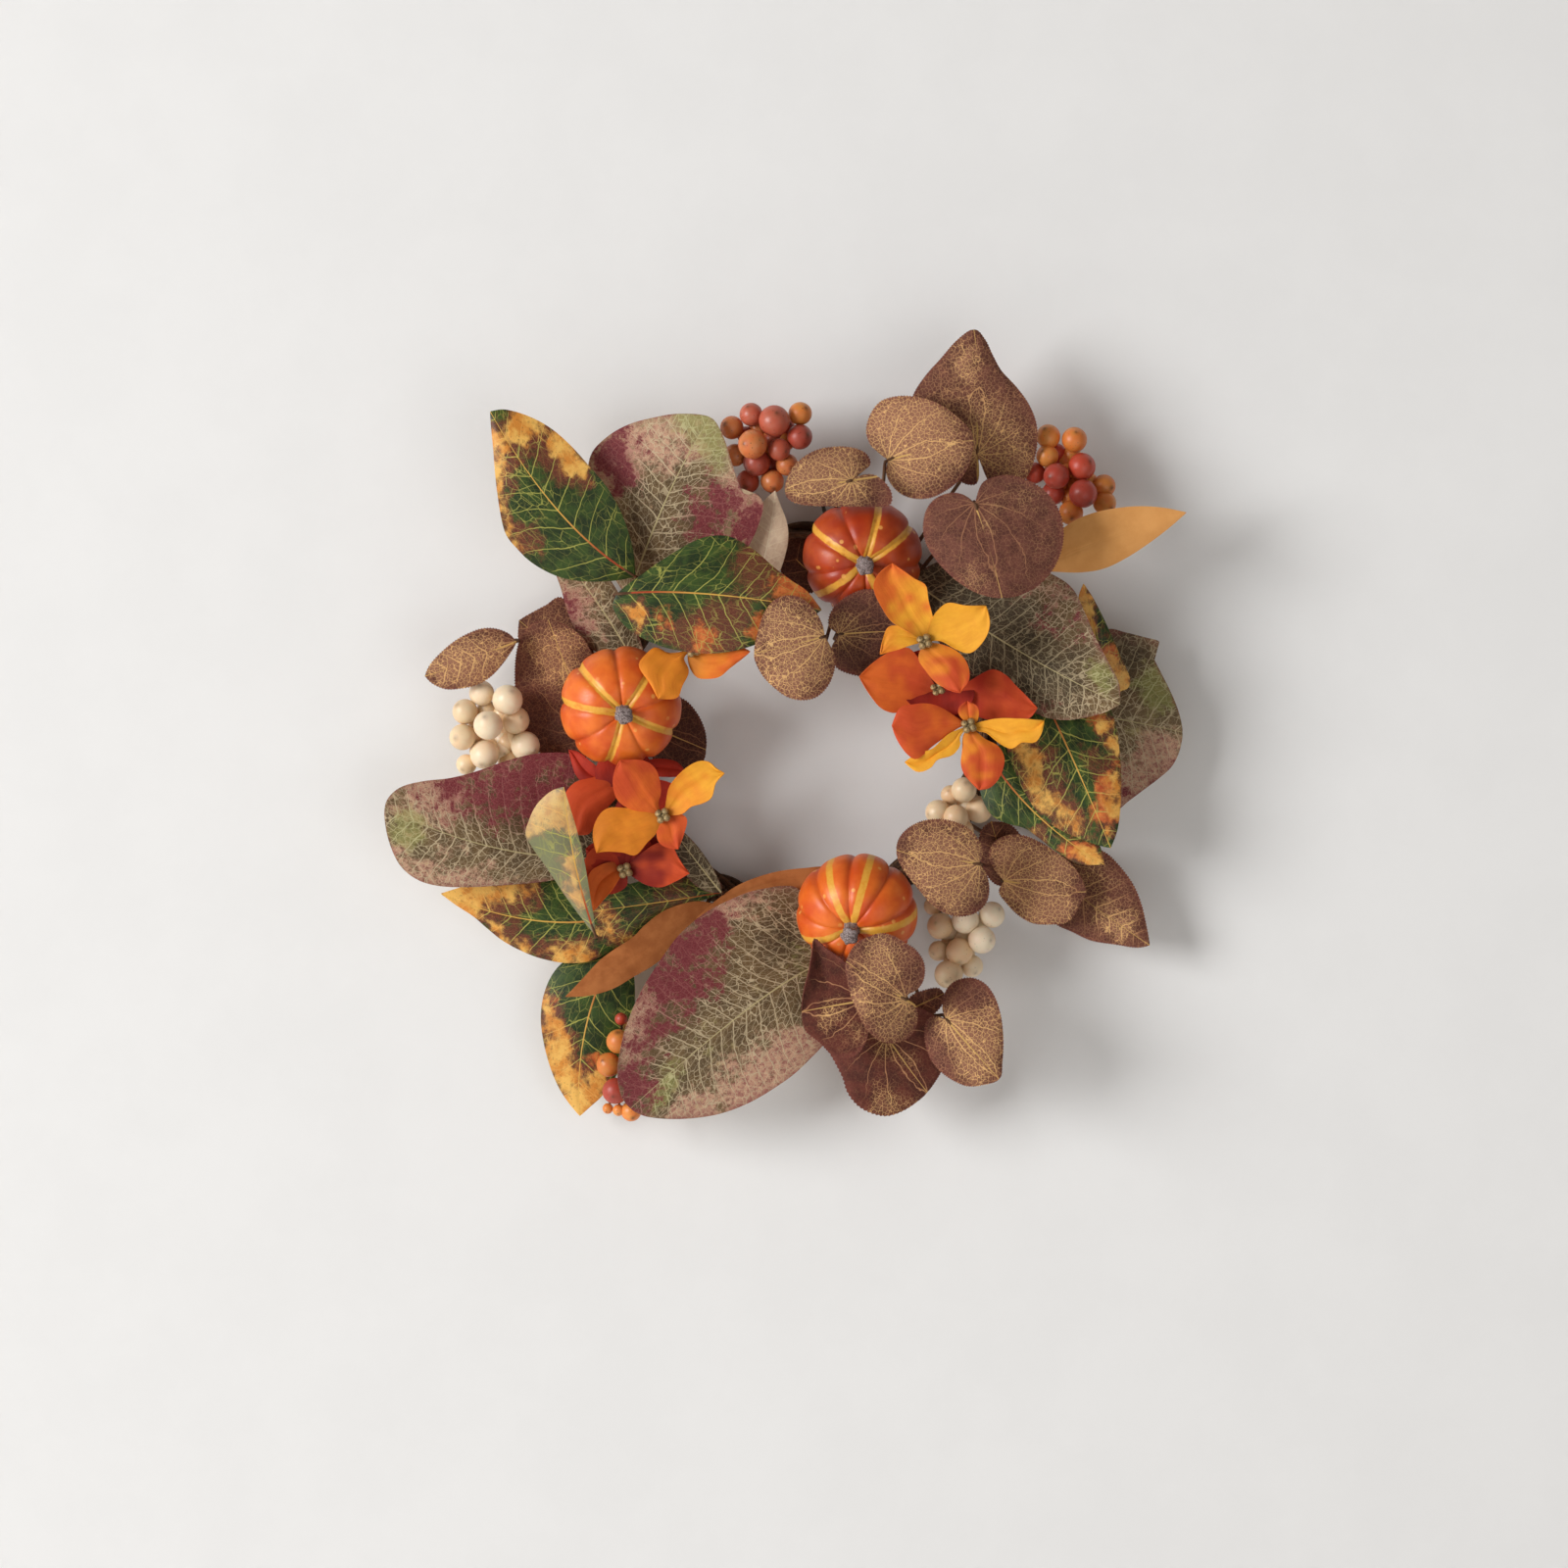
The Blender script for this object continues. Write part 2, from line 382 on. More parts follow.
# -------------------------------------------------------------- piece surfaces
def side_curve(base, points, tip, across_tip, per=10):
    """Smooth curve base -> points -> tip.  across_tip is the neighbour on the
    other side when the tip is rounded, or None when it is pointed."""
    knots = [np.array(p, float) for p in [base] + list(points) + [tip]]
    tangents = [knots[1] - knots[0]]
    for i in range(1, len(knots)-1):
        tangents.append((knots[i+1] - knots[i-1]) / 2)
    if across_tip is not None:
        tangents.append((np.array(across_tip) - knots[-2]) / 2)
    else:
        tangents.append(knots[-1] - knots[-2])
    curve = []
    for i in range(len(knots)-1):
        for k in range(per):
            t = k / per
            curve.append((2*t**3-3*t**2+1)*knots[i] + (t**3-2*t**2+t)*tangents[i]
                         + (-2*t**3+3*t**2)*knots[i+1] + (t**3-t**2)*tangents[i+1])
    curve.append(knots[-1])
    return np.array(curve)


def by_length(curve, u):
    """Points at fractions u of a curve's length."""
    along = np.concatenate([[0], np.cumsum(np.hypot(*np.diff(curve, axis=0).T))])
    along /= along[-1]
    return np.stack([np.interp(u, along, curve[:, 0]), np.interp(u, along, curve[:, 1])], -1)


def rib_point(rib, u):
    base, middle, tip = [np.array(p, float) for p in rib]
    control = 2*middle - (base + tip)/2
    u = np.asarray(u)[..., None]
    return (1-u)**2*base + 2*u*(1-u)*control + u**2*tip


def leaf_surface(name, along, across):
    """Sheet x, y and height of a leaf at along (0 base, 1 tip) and across
    (-1 side B, 0 rib, 1 side A)."""
    _, rib, side_a, side_b, pointed, heights, wave = LEAVES[name]
    base_h, tip_h, arch, edge_a, edge_b = heights
    curve_a = side_curve(rib[0], side_a, rib[2], None if pointed else side_b[-1])
    curve_b = side_curve(rib[0], side_b, rib[2], None if pointed else side_a[-1])
    on_a, on_b = by_length(curve_a, along), by_length(curve_b, along)
    on_rib = rib_point(rib, along)
    width = np.abs(across)[..., None]
    points = on_rib + width*(np.where((across >= 0)[..., None], on_a, on_b) - on_rib)

    base = np.array(rib[0], float)
    axis = np.array(rib[2], float) - base
    length = np.hypot(*axis)
    s = np.clip(((points - base) @ axis)/length**2, -.35, 1.1)
    height = base_h + (tip_h-base_h)*s + arch*4*s*(1-s)
    edge = np.where(across >= 0, edge_a, edge_b)
    height = height + edge*np.abs(across)**1.7*np.sin(np.pi*np.clip(along, 0, 1))**.7
    phase = sum(map(ord, name)) % 17          # each leaf ripples differently
    ripple = np.sin(along*9 + phase + 2.2*np.sign(across))
    height = height + wave*np.abs(across)**2*ripple*np.sin(np.pi*along)
    return points, height


def petal_reach(tip, half, centre, angle):
    """Outline radius of one elliptic petal seen from the flower's centre; 0 off it."""
    dx, dy = tip[0]-centre[0], tip[1]-centre[1]
    length = math.hypot(dx, dy)
    turn = (angle - math.atan2(dy, dx) + math.pi) % (2*math.pi) - math.pi
    middle, half_long, half_wide = .54*length, .46*length, half*.96
    c, s = math.cos(turn), math.sin(turn)
    # the ray (c, s)*r meets ((r*c - middle)/half_long)^2 + (r*s/half_wide)^2 = 1
    qa = (c/half_long)**2 + (s/half_wide)**2
    qb = -2*c*middle/half_long**2
    qc = (middle/half_long)**2 - 1
    disc = qb*qb - 4*qa*qc
    if disc < 0 or c <= 0:
        return 0.0
    return max(0.0, (-qb + math.sqrt(disc))/(2*qa))


def floret_surface(name, rings, spokes):
    """Fan of a floret: (sheet xy, height) arrays [spokes][rings]."""
    centre, middle_h, petals = FLORETS[name]
    points = np.zeros((spokes, rings, 2))
    heights = np.zeros((spokes, rings))
    for i in range(spokes):
        angle = 2*math.pi*i/spokes
        reach, rise = FLORET_EYE, 0.0
        for tip, half, petal_rise in petals:
            r = petal_reach(tip, half, centre, angle)
            if r > reach:
                reach, rise = r, petal_rise
        for k in range(rings):
            f = (k+1)/rings
            r = reach*f
            points[i, k] = (centre[0] + r*math.cos(angle), centre[1] + r*math.sin(angle))
            # petals gain their full rise from 24 mm out
            heights[i, k] = middle_h + rise*min(1.0, (r/240.0))*f + 1.5*f
    return points, heights


def tilted(name, x, y, z):
    """Local pumpkin mm (z along the stem) -> sheet x, y and height."""
    centre, _, middle_h, (tilt_x, tilt_y) = PUMPKINS[name]
    x, z = (x*math.cos(tilt_x) + z*math.sin(tilt_x),
            z*math.cos(tilt_x) - x*math.sin(tilt_x))
    y, z = (y*math.cos(tilt_y) + z*math.sin(tilt_y),
            z*math.cos(tilt_y) - y*math.sin(tilt_y))
    return centre[0] + to_tenths(x), centre[1] + to_tenths(y), middle_h + z


def pumpkin_point(name, lon, lat):
    """Point of a lobed pumpkin, dimpled at both ends."""
    size = to_mm(PUMPKINS[name][1])
    r = 0.0
    if abs(lat) < math.pi/2-1e-6:
        lobes = abs(math.cos(4.5*lon))
        groove = PUMPKIN_GROOVE*(1-lobes)**2*max(0.0, math.cos(lat))**.5
        r = size*(1 - groove)*math.cos(lat)**.86
    dimple = size*PUMPKIN_DIMPLE*math.exp(-(r/(size*.30))**2)
    z = size*PUMPKIN_FLAT*math.sin(lat) - dimple*(1 if lat > 0 else -1)
    return tilted(name, r*math.cos(lon), -r*math.sin(lon), z)


def stem_point(name, angle, level):
    """Point of a short stem: level 0 at its foot in the dimple, 6 at the knob."""
    foot_z = to_mm(PUMPKINS[name][1])*(PUMPKIN_FLAT-PUMPKIN_DIMPLE) + .3
    r = STEM_RADII[level]
    z = foot_z + level/(len(STEM_RADII)-1)*STEM_LENGTH
    return tilted(name, r*math.cos(angle), -r*math.sin(angle), z)


# ------------------------------------------------------------- laying the pieces
def cell_at(x, y):
    return int(round(x/CELL)), int(round(y/CELL))


def leaf_samples(name):
    """x, y, height and half thickness over a leaf."""
    along, across = np.meshgrid(np.linspace(0, 1, 90), np.linspace(-1, 1, 71), indexing='ij')
    points, heights = leaf_surface(name, along, across)
    half = LEAF_THICK*500 + .25
    for (x, y), h in zip(points.reshape(-1, 2), heights.reshape(-1)):
        yield x, y, h-half, h+half


def floret_samples(name):
    points, heights = floret_surface(name, 30, 150)
    for (x, y), h in zip(points.reshape(-1, 2), heights.reshape(-1)):
        yield x, y, h-PETAL_THICK*500-.4, h+PETAL_THICK*500+.4
    centre, middle_h, _ = FLORETS[name]
    for degrees in range(0, 360, 20):
        angle = math.radians(degrees)
        for r in (0, 16, 32):
            yield (centre[0]+r*math.cos(angle), centre[1]+r*math.sin(angle),
                   middle_h-2.0, middle_h+5.2)


def berry_samples(name):
    middle_h, _, berries = BERRIES[name]
    for x, y, r, extra in berries:
        for i in range(-8, 9):
            for j in range(-8, 9):
                q = (i/8)**2 + (j/8)**2
                if q <= 1:
                    depth = to_mm(r)*math.sqrt(1-q)
                    yield (x+r*i/8, y+r*j/8,
                           middle_h+extra-depth, middle_h+extra+depth)


def pumpkin_samples(name):
    points = [pumpkin_point(name, 2*math.pi*i/150, math.pi*(j/74-.5))
              for i in range(150) for j in range(75)]
    points += [stem_point(name, 2*math.pi*i/12, level)
               for i in range(12) for level in range(len(STEM_RADII))]
    for x, y, h in points:
        yield x, y, h-.2, h+.2


def footprint(name):
    """Cells covered by a piece: cell -> (lowest, highest) height in mm."""
    if name in LEAVES:
        samples = leaf_samples(name)
    elif name in FLORETS:
        samples = floret_samples(name)
    elif name in BERRIES:
        samples = berry_samples(name)
    else:
        samples = pumpkin_samples(name)
    cells = {}
    for x, y, low, high in samples:
        cell = cell_at(x, y)
        old_low, old_high = cells.get(cell, (low, high))
        cells[cell] = (min(old_low, low), max(old_high, high))
    return cells


def around(cell):
    """A cell and its eight neighbours."""
    return [(cell[0]+i, cell[1]+j) for i in (-1, 0, 1) for j in (-1, 0, 1)]


def lay():
    """Lifts each piece just clear of those laid before it.  Returns name -> lift
    in mm, and cell -> [(name, lowest, highest), ...] of the laid pieces."""
    top = {}
    for step in range(0, 3600, 4):
        for k in range(-10, 11):
            point = ring_point(math.radians(step/10), RING_R + RING_HALF*k/10)
            top[cell_at(*point)] = RING_FRONT + RING_COVER
    lifts, laid = {}, {}
    for name in ORDER:
        cells = footprint(name)
        lift = 0.0
        for cell, (low, _) in cells.items():
            for near in around(cell):
                if near in top:
                    lift = max(lift, top[near] + LAY_GAP - low)
        lifts[name] = lift
        for cell, (low, high) in cells.items():
            top[cell] = max(top.get(cell, high+lift), high+lift)
            laid.setdefault(cell, []).append((name, low+lift, high+lift))
    return lifts, laid


LIFTS, LAID = lay()


# ---------------------------------------------------------------- mesh helpers
def collection(name):
    group = bpy.data.collections.new(name)
    bpy.context.scene.collection.children.link(group)
    return group


WREATH = collection('harvest_door_wreath')
CUTTERS = collection('cutters')
CUTTERS.hide_render = True


def material(name, rgb, roughness):
    finish = bpy.data.materials.new(name)
    finish.use_nodes = True
    shader = finish.node_tree.nodes['Principled BSDF']
    shader.inputs['Base Color'].default_value = (*rgb, 1)
    shader.inputs['Roughness'].default_value = roughness
    return finish


def add(name, mesh, rgb, roughness, smooth=True, origin=None):
    """Turns a bmesh into a finished piece of the wreath."""
    bmesh.ops.recalc_face_normals(mesh, faces=mesh.faces)
    if origin is not None:
        bmesh.ops.translate(mesh, verts=mesh.verts, vec=-Vector(origin))
    data = bpy.data.meshes.new(name)
    mesh.to_mesh(data)
    mesh.free()
    for face in data.polygons:
        face.use_smooth = smooth
    data.materials.append(material(name + '_finish', rgb, roughness))
    piece = bpy.data.objects.new(name, data)
    if origin is not None:
        piece.location = origin
    WREATH.objects.link(piece)


def band(mesh, first, second):
    """Faces between two closed loops of vertices."""
    count = len(first)
    for k in range(count):
        after = (k+1) % count
        mesh.faces.new((first[k], first[after], second[after], second[k]))


def capped_tube(mesh, loops):
    for first, second in zip(loops, loops[1:]):
        band(mesh, first, second)
    mesh.faces.new(list(reversed(loops[0])))
    mesh.faces.new(loops[-1])


def circle(mesh, centre, side, up, radius, sides):
    """Loop of vertices round a centre in the plane of side and up."""
    loop = []
    for k in range(sides):
        angle = 2*math.pi*k/sides
        loop.append(mesh.verts.new(
            centre + (side*math.cos(angle) + up*math.sin(angle))*radius))
    return loop


def tube_mesh(path, radius, sides):
    """Closed tube along a list of points."""
    mesh = bmesh.new()
    path = [Vector(p) for p in path]
    reference = Vector((0.123, -.31, .94)).normalized()
    loops = []
    for i, point in enumerate(path):
        along = (path[min(i+1, len(path)-1)] - path[max(i-1, 0)]).normalized()
        side = along.cross(reference)
        if side.length < 1e-3:                # the tube runs along the reference
            side = along.cross(Vector((1, 0, 0)))
        side.normalize()
        loops.append(circle(mesh, point, side, along.cross(side), radius, sides))
    capped_tube(mesh, loops)
    bmesh.ops.recalc_face_normals(mesh, faces=mesh.faces)
    return mesh


def helper_object(mesh, name):
    data = bpy.data.meshes.new(name)
    mesh.to_mesh(data)
    mesh.free()
    helper = bpy.data.objects.new(name, data)
    helper.hide_render = True
    CUTTERS.objects.link(helper)
    return helper


def merge_and_triangulate(mesh):
    bmesh.ops.remove_doubles(mesh, verts=mesh.verts, dist=5e-7)
    bmesh.ops.triangulate(mesh, faces=mesh.faces)


def one_body(data):
    """True when the merged, triangulated mesh is closed and in one piece."""
    mesh = bmesh.new()
    mesh.from_mesh(data)
    merge_and_triangulate(mesh)
    good = all(len(e.link_faces) == 2 for e in mesh.edges) and len(mesh.faces) > 0
    good = good and all(f.calc_area() > 1e-13 for f in mesh.faces)
    if good:
        seen, waiting = set(), [mesh.faces[:][0]]
        while waiting:
            face = waiting.pop()
            if face in seen:
                continue
            seen.add(face)
            waiting += [f for e in face.edges for f in e.link_faces if f not in seen]
        good = len(seen) == len(mesh.faces)
    mesh.free()
    return good


def united(name, parts, rgb, roughness):
    """Adds the union of closed parts, taken one after the other.  A part that
    neither solver joins into one body is left out."""
    base = helper_object(parts[0], name + '_a')
    for i, part in enumerate(parts[1:]):
        other = helper_object(part, '%s_b%d' % (name, i))
        for solver in ('MANIFOLD', 'EXACT'):
            join = base.modifiers.new('join', 'BOOLEAN')
            join.operation = 'UNION'
            join.solver = solver
            join.object = other
            depsgraph = bpy.context.evaluated_depsgraph_get()
            joined = bpy.data.meshes.new_from_object(base.evaluated_get(depsgraph))
            base.modifiers.clear()
            if one_body(joined):
                base.data = joined
                break
        bpy.data.objects.remove(other, do_unlink=True)
    mesh = bmesh.new()
    mesh.from_mesh(base.data)
    bpy.data.objects.remove(base, do_unlink=True)
    merge_and_triangulate(mesh)
    add(name, mesh, rgb, roughness)


# ---------------------------------------------------------------------- leaves
def grid_solid(rows, thick):
    """Closed sheet from a grid of points, thickened along its local normals."""
    points = np.array(rows)
    n, m = points.shape[:2]
    normals = np.cross(np.gradient(points, axis=0), np.gradient(points, axis=1))
    normals[0] = normals[1]
    normals[-1] = normals[-2]
    normals /= np.linalg.norm(normals, axis=2, keepdims=True) + 1e-12
    if normals[:, :, 1].mean() > 0:
        normals = -normals
    # lean the thickness direction towards the front
    forward = np.zeros_like(normals)
    forward[:, :, 1] = -1
    normals = normals*.5 + forward*.5
    normals /= np.linalg.norm(normals, axis=2, keepdims=True)

    mesh = bmesh.new()
    offset = normals*thick/2
    front, back = [[[mesh.verts.new(side[i, j]) for j in range(m)] for i in range(n)]
                   for side in (points + offset, points - offset)]
    face = mesh.faces.new
    for i in range(n-1):
        for j in range(m-1):
            face((front[i][j], front[i+1][j], front[i+1][j+1], front[i][j+1]))
            face((back[i][j], back[i][j+1], back[i+1][j+1], back[i+1][j]))
    for i in range(n-1):
        face((front[i][0], back[i][0], back[i+1][0], front[i+1][0]))
        face((front[i][m-1], front[i+1][m-1], back[i+1][m-1], back[i][m-1]))
    for j in range(m-1):
        face((front[0][j], front[0][j+1], back[0][j+1], back[0][j]))
        face((front[n-1][j], back[n-1][j], back[n-1][j+1], front[n-1][j+1]))
    bmesh.ops.remove_doubles(mesh, verts=mesh.verts, dist=2e-5)
    bmesh.ops.dissolve_degenerate(mesh, edges=mesh.edges, dist=1e-6)
    return mesh


def rib_place(name, along):
    """Sheet x, y and lifted height on a leaf's rib."""
    points, heights = leaf_surface(name, np.array([along]), np.array([0.0]))
    return float(points[0, 0]), float(points[0, 1]), float(heights[0] + LIFTS[name])


def build_leaf(name):
    along, across = np.meshgrid(np.linspace(.012, .988, LEAF_ROWS + 1),
                                np.linspace(-1, 1, LEAF_COLS + 1), indexing='ij')
    points, heights = leaf_surface(name, along, across)
    rows = [[world(*points[i, j], heights[i, j] + LIFTS[name])
             for j in range(LEAF_COLS + 1)] for i in range(LEAF_ROWS + 1)]
    origin = world(*rib_place(name, .04)) if name in HINGED else None
    add(name, grid_solid(rows, LEAF_THICK), LEAF_RGB[LEAVES[name][0]], .55, origin=origin)


# --------------------------------------------------------------------- florets
def build_floret(name):
    spokes, rings = FLORET_SPOKES, FLORET_RINGS
    points, heights = floret_surface(name, rings, spokes)
    (x, y), middle_h, _ = FLORETS[name]
    middle_h += LIFTS[name]
    mesh = bmesh.new()
    half = PETAL_THICK*500
    front, back = [[[mesh.verts.new(world(*points[i, k], heights[i, k] + LIFTS[name] + shift))
                     for k in range(rings)] for i in range(spokes)]
                   for shift in (half, -half)]
    low_eye, high_eye = [[mesh.verts.new(world(x + r*math.cos(2*math.pi*i/spokes),
                                               y + r*math.sin(2*math.pi*i/spokes),
                                               middle_h + rise))
                          for i in range(spokes)] for r, rise in EYE_RINGS]
    top = mesh.verts.new(world(x, y, middle_h + EYE_TOP))
    bottom = mesh.verts.new(world(x, y, middle_h - EYE_BOTTOM))
    face = mesh.faces.new
    for i in range(spokes):
        j = (i+1) % spokes
        for k in range(rings-1):
            face((front[i][k], front[i][k+1], front[j][k+1], front[j][k]))
            face((back[i][k], back[j][k], back[j][k+1], back[i][k+1]))
        face((front[i][-1], back[i][-1], back[j][-1], front[j][-1]))
        face((low_eye[i], front[i][0], front[j][0], low_eye[j]))
        face((high_eye[i], low_eye[i], low_eye[j], high_eye[j]))
        face((top, high_eye[i], high_eye[j]))
        face((bottom, back[j][0], back[i][0]))
    add(name, mesh, FLORET_RGB, .7)


# --------------------------------------------------------------------- berries
def cluster_middle(berries):
    return (sum(b[0] for b in berries)/len(berries),
            sum(b[1] for b in berries)/len(berries))


def ball(centre, radius, segments, rings):
    mesh = bmesh.new()
    bmesh.ops.create_uvsphere(mesh, u_segments=segments, v_segments=rings, radius=radius,
                              matrix=Matrix.Translation(centre))
    return mesh


def build_berries(name):
    """Berries joined to a small core by short wires."""
    middle_h, rgb, berries = BERRIES[name]
    middle_h += LIFTS[name]
    core = Vector(world(*cluster_middle(berries), middle_h - 1.0))
    turn_axis = Vector((.3, .8, .5)).normalized()
    parts = [ball(core, BERRY_CORE_R, 6, 4)]
    for k, (x, y, r, extra) in enumerate(berries):
        centre = Vector(world(x, y, middle_h + extra))
        # slightly different sizes and turns keep the facets from coinciding
        berry = ball(centre, r*TENTH*(.985 - .004*(k % 5)), 8, 4)
        bmesh.ops.rotate(berry, verts=berry.verts, cent=centre,
                         matrix=Matrix.Rotation(.37*k + .2, 3, turn_axis))
        parts.append(tube_mesh([core, core.lerp(centre, .97)], BERRY_WIRE_R, 4))
        parts.append(berry)
    united(name, parts, rgb, .3)


# -------------------------------------------------------------------- pumpkins
def build_pumpkin(name):
    mesh = bmesh.new()

    def vertex(lon, lat):
        x, y, h = pumpkin_point(name, lon, lat)
        return mesh.verts.new(world(x, y, h + LIFTS[name]))

    rows = [[vertex(2*math.pi*i/PUMPKIN_LONS, math.pi*(j/PUMPKIN_LATS-.5))
             for i in range(PUMPKIN_LONS)] for j in range(1, PUMPKIN_LATS)]
    low = vertex(0, -math.pi/2)
    high = vertex(0, math.pi/2)
    for first, second in zip(rows, rows[1:]):
        band(mesh, first, second)
    for i in range(PUMPKIN_LONS):
        j = (i+1) % PUMPKIN_LONS
        mesh.faces.new((low, rows[0][j], rows[0][i]))
        mesh.faces.new((high, rows[-1][i], rows[-1][j]))
    add(name, mesh, PUMPKIN_RGB, .3)


def build_stem(name):
    mesh = bmesh.new()
    loops = []
    for level in range(len(STEM_RADII)):
        loop = []
        for i in range(STEM_SIDES):
            x, y, h = stem_point(name, 2*math.pi*i/STEM_SIDES, level)
            loop.append(mesh.verts.new(world(x, y, h + LIFTS[name] + STEM_GAP)))
        loops.append(loop)
    capped_tube(mesh, loops)
    add(name + '_stem', mesh, STEM_RGB, .6)


# ------------------------------------------------------------- ring and hanger
def ring_profile(full, sides=10):
    """Section of the ring as (outwards, backwards) from the tube's middle: the
    flat-backed tube, or the round neck under the hanger."""
    profile = []
    for k in range(sides):
        angle = 2*math.pi*(k+.5)/sides - math.pi/2
        if full:
            half_wide = RING_HALF*MM
            outwards = half_wide*math.cos(angle)
            backwards = -(RING_FRONT*MM - RING_MID)*math.sin(angle)
            if k in (0, sides-1):             # on the flat back
                outwards = math.copysign(RING_BACK_FLAT*MM/2, outwards)
                backwards = RING_MID
            if k in (1, sides-2):             # the shoulders beside it
                outwards = math.copysign(half_wide*.97, outwards)
                backwards = RING_MID*.55
        else:
            outwards, backwards = NECK_R*math.cos(angle), -NECK_R*math.sin(angle)
        profile.append((outwards, backwards))
    return profile


def build_ring():
    """Swept ring with a flat back; necked down where the hanger wraps it."""
    half = math.degrees(NECK_HALF/(RING_R*MM))
    stops = [(HANGER_DEG + half + .8 + (360 - 2*half - 1.6)*k/39, True) for k in range(40)]
    stops += [(HANGER_DEG - half, True), (HANGER_DEG - half + .02, False),
              (HANGER_DEG + half - .02, False), (HANGER_DEG + half, True)]
    mesh = bmesh.new()
    loops = []
    for degrees, full in stops:
        angle = math.radians(degrees)
        out = Vector((math.cos(angle), 0, math.sin(angle)))
        loops.append([mesh.verts.new(out*(RING_R*MM + outwards)
                                     + Vector((0, -RING_MID + backwards, -RING_R*MM)))
                      for outwards, backwards in ring_profile(full)])
    for i, loop in enumerate(loops):
        band(mesh, loop, loops[(i+1) % len(loops)])
    add('base_ring', mesh, RING_RGB, .85, smooth=False)


def hanger_strand(f, sign):
    """One of two strands that turn a quarter while they rise; f 0..1."""
    reach = HANGER_BEND + (HANGER_EYE_R*.55 - HANGER_BEND)*f
    turn = math.pi/2*max(0.0, (f - .25)/.75)
    return (sign*reach*math.sin(turn), sign*reach*math.cos(turn),
            HANGER_START + (HANGER_RISE - 2*HANGER_EYE_R)*f)


def hanger_path():
    """Closed path of the hanger wire, from the middle of the ring's tube."""
    path = []
    for k in range(11):                       # under the tube, from back to front
        angle = math.pi*k/10
        path.append((0.0, HANGER_BEND*math.cos(angle), -HANGER_BEND*math.sin(angle)))
    path += [hanger_strand(k/5, -1) for k in range(6)]
    eye_z = HANGER_START + (HANGER_RISE - 2*HANGER_EYE_R) + HANGER_EYE_R*.84
    for k in range(9):                        # eye, facing the front
        angle = math.radians(213 - 246*k/8)
        path.append((HANGER_EYE_R*math.cos(angle), 0.0, eye_z + HANGER_EYE_R*math.sin(angle)))
    path += [hanger_strand(k/5, 1) for k in range(5, -1, -1)]
    return path


def build_hanger():
    """Wire hanger: wraps the neck of the ring and runs up to an eye."""
    angle = math.radians(HANGER_DEG)
    base = Vector((RING_R*MM*math.cos(angle), -RING_MID, RING_R*MM*(math.sin(angle) - 1)))
    points = [base + Vector(p) for p in hanger_path()]
    mesh = bmesh.new()
    loops = []
    side = Vector((1, 0, 0))
    for i, point in enumerate(points):
        along = (points[(i+1) % len(points)] - points[i-1]).normalized()
        side = (side - along*side.dot(along)).normalized()
        loops.append(circle(mesh, point, side, along.cross(side), HANGER_WIRE_R, 6))
    for first, second in zip(loops, loops[1:]):
        band(mesh, first, second)
    # the frame may come round turned: close with the nearest match
    start, end = loops[0], loops[-1]
    turn = min(range(len(end)), key=lambda k: (end[k].co - start[0].co).length)
    band(mesh, end, start[-turn:] + start[:-turn])
    add('hanger_loop', mesh, HANGER_RGB, .45, origin=base)


# ------------------------------------------------------------------ pick wires
def clear(path, own, room):
    """True when every point of a path misses all laid pieces, apart from the
    wire's own piece close to the path's end."""
    for x, y, h in path:
        at_end = math.hypot(x - path[-1][0], y - path[-1][1]) < 36
        for cell in around(cell_at(x, y)):
            for other, low, high in LAID.get(cell, ()):
                if other == own and at_end:
                    continue
                if low - room < h < high + room:
                    return False
    return True


def bare(path):
    """How many points of a path no piece covers from the front."""
    return sum(not any(low > h for _, low, _ in LAID.get(cell_at(x, y), ()))
               for x, y, h in path)


def wire_foot(name):
    """Where a piece's wire ends: sheet x, y and height just behind the piece."""
    if name in LEAVES:
        x, y, h = rib_place(name, .03)
        return x, y, h - LEAF_THICK*500 - PICK_WIRE_R*1000 - WIRE_GAP
    if name in FLORETS:
        (x, y), h, _ = FLORETS[name]
        return x, y, h + LIFTS[name] - EYE_BOTTOM - PICK_WIRE_R*1000 - WIRE_GAP
    if name in BERRIES:
        h, _, berries = BERRIES[name]
        return (*cluster_middle(berries), h + LIFTS[name] - BERRY_FOOT)
    (x, y), r, h, _ = PUMPKINS[name]
    return x, y, h + LIFTS[name] - to_mm(r)*PUMPKIN_FLAT - .2


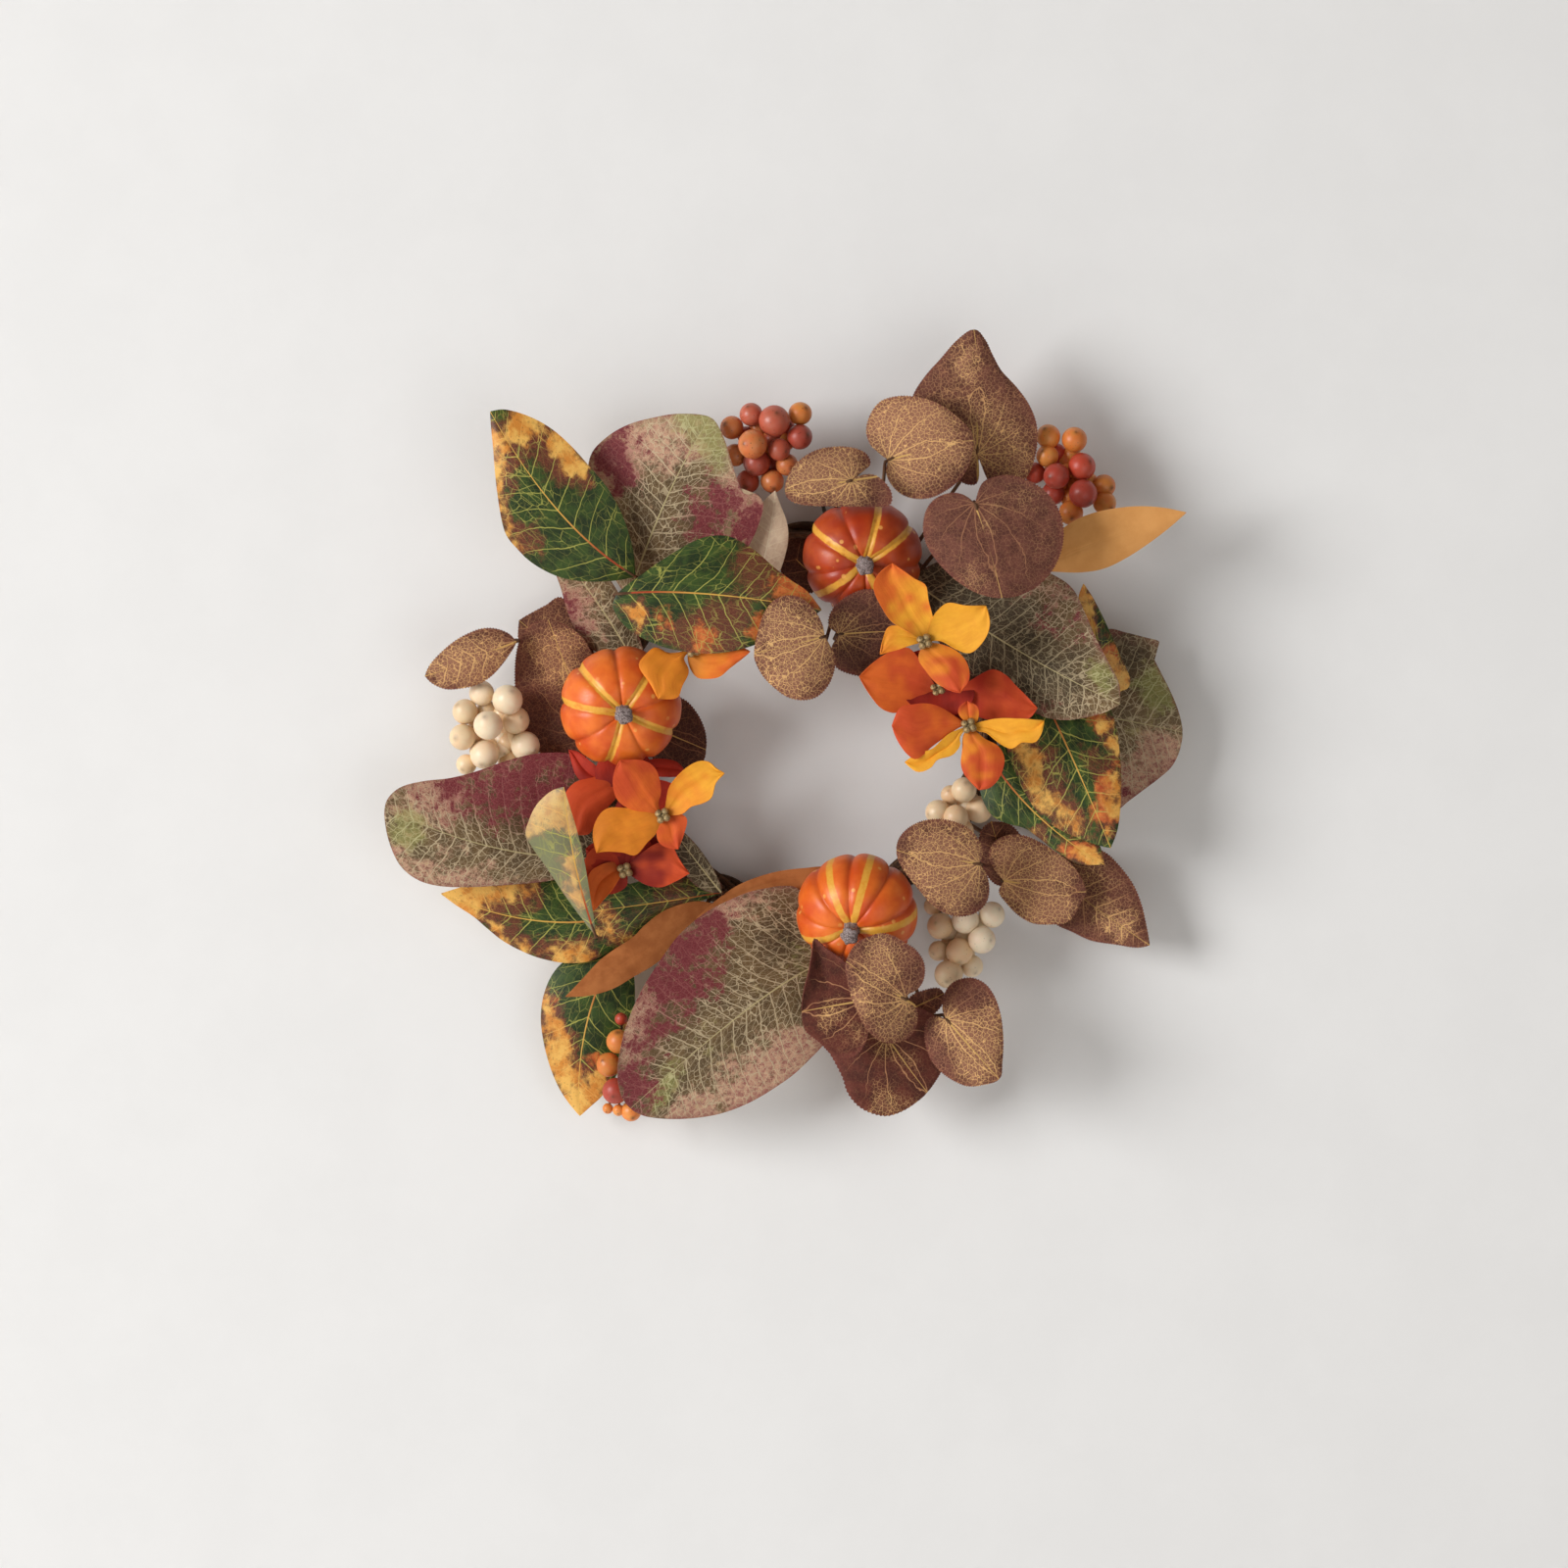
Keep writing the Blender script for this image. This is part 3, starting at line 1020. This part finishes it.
def wire_route(start, end, length, side, bend):
    """Four points from start to end, bowed sideways and in height."""
    x0, y0 = start
    x1, y1, h1 = end
    across_x, across_y = -(y1-y0)/length, (x1-x0)/length
    route = []
    for f in (0, .3, .65, 1):
        bow = side*length*4*f*(1-f)
        route.append((x0+(x1-x0)*f + across_x*bow, y0+(y1-y0)*f + across_y*bow,
                      SPINE_H + (h1-SPINE_H)*(f + bend*f*(1-f))))
    return route


def wire_path(name):
    """Best clear route from the bundle spine to a piece, as (angle on the ring,
    points), or (None, None).  Hidden, straight and short routes score lowest."""
    end = wire_foot(name)
    nearest = math.atan2(end[1] - RING_AT[1], end[0] - RING_AT[0])
    best = (1e9, None, None)
    for step in range(0, 15):
        for sign in ((1,) if step == 0 else (1, -1)):
            angle = nearest + sign*step*math.radians(4)
            start = ring_point(angle)
            length = max(4.0, math.hypot(end[0]-start[0], end[1]-start[1]))
            for side in (0, .12, -.12, .25, -.25):
                for bend in (0.0, .35, -.35, .7, -.7):
                    route = wire_route(start, end, length, side, bend)
                    fine = [tuple(np.array(route[i])*(1-t/9) + np.array(route[i+1])*t/9)
                            for i in range(3) for t in range(9)] + [route[3]]
                    if not clear(fine, name, PICK_WIRE_R*1000 + .15):
                        continue
                    score = 3*bare(fine) + .25*step + 2*abs(side) + length/480
                    if score < best[0]:
                        best = (score, angle, route)
        if best[0] < 3 + .25*step:
            break
    return best[1], best[2]


def build_bundle(name, first, last, routes):
    """Wire bundle lying on the ring's face, with the branches that start on it."""
    steps = 14
    spine = []
    for k in range(steps+1):
        angle = math.radians(first + (last-first)*k/steps)
        spine.append(world(*ring_point(angle), SPINE_H))
    parts = [tube_mesh(spine, SPINE_R, 6)]
    for angle, route in routes:
        degrees = math.degrees(angle) % 360
        if any(first + 1 <= degrees + turn <= last - 1 for turn in (0, 360, -360)):
            parts.append(tube_mesh([world(*p) for p in route], PICK_WIRE_R, 4))
    united(name, parts, BUNDLE_RGB, .7)


# -------------------------------------------------------------------- assembly
def build_piece(name):
    if name in LEAVES:
        build_leaf(name)
    elif name in FLORETS:
        build_floret(name)
    elif name in BERRIES:
        build_berries(name)
    else:
        build_pumpkin(name)
        build_stem(name)


build_ring()
build_hanger()
for _name in ORDER:
    build_piece(_name)
ROUTES = [(angle, route) for angle, route in map(wire_path, ORDER) if route]
for _name, (_first, _last) in BUNDLES.items():
    build_bundle(_name, _first, _last, ROUTES)
